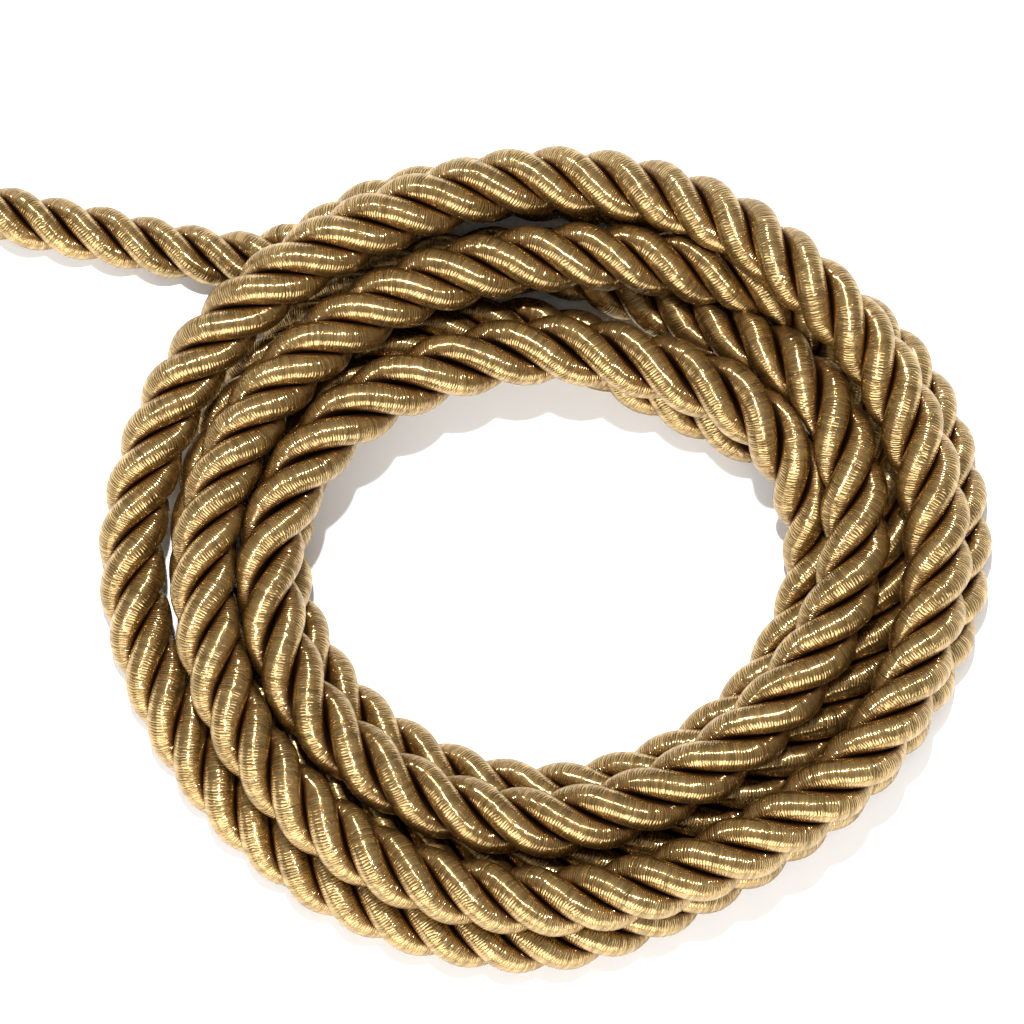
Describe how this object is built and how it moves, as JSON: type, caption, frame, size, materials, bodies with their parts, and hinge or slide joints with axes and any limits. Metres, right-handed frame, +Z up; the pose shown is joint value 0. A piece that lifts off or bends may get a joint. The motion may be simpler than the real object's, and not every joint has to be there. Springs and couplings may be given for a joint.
{
  "type": "coil of twisted cord trim",
  "caption": "Soft twisted cord trim of three satin-wrapped plies, wound by hand into a low two-layer coil with one end running out along the surface.",
  "frame": {"origin": "centre of the bounding box at the level of the surface that the coil lies on", "axes": "+Z up out of the surface, +X across the coil away from the running-out end, +Y towards the side where the end leaves the coil"},
  "size_m": [0.132, 0.102, 0.0214],
  "materials": {
    "cord": "satin thread wrapped crosswise round each ply, old gold"
  },
  "bodies": {
    "root": {"coil": "cord", "loose_end": "cord"}
  },
  "joints": []
}
